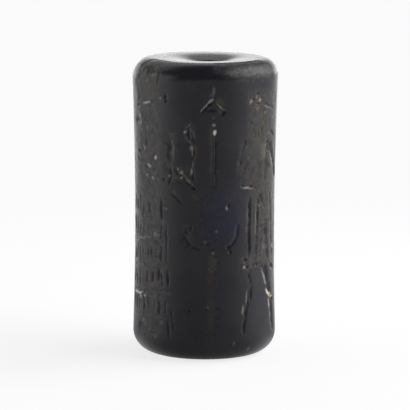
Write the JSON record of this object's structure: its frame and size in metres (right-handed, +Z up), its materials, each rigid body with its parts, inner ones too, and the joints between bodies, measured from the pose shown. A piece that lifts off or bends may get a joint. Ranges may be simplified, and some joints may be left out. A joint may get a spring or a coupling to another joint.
{
  "type": "cylinder seal",
  "caption": "Small drilled stone cylinder, slightly waisted with rubbed rounded ends, its wall engraved with standing figures so that it prints a frieze when rolled over clay.",
  "frame": {"origin": "centre of the seal's lower end, at the bottom of its bounding box", "axes": "+Z up along the length of the cylinder and its bore, -Y towards the spear at the middle of the engraved scene, +X towards the man in the kilt"},
  "size_m": [0.0138, 0.0138, 0.028],
  "materials": {
    "polished_stone": "satin"
  },
  "bodies": {
    "root": {"seal_stone": "polished_stone"}
  },
  "joints": []
}
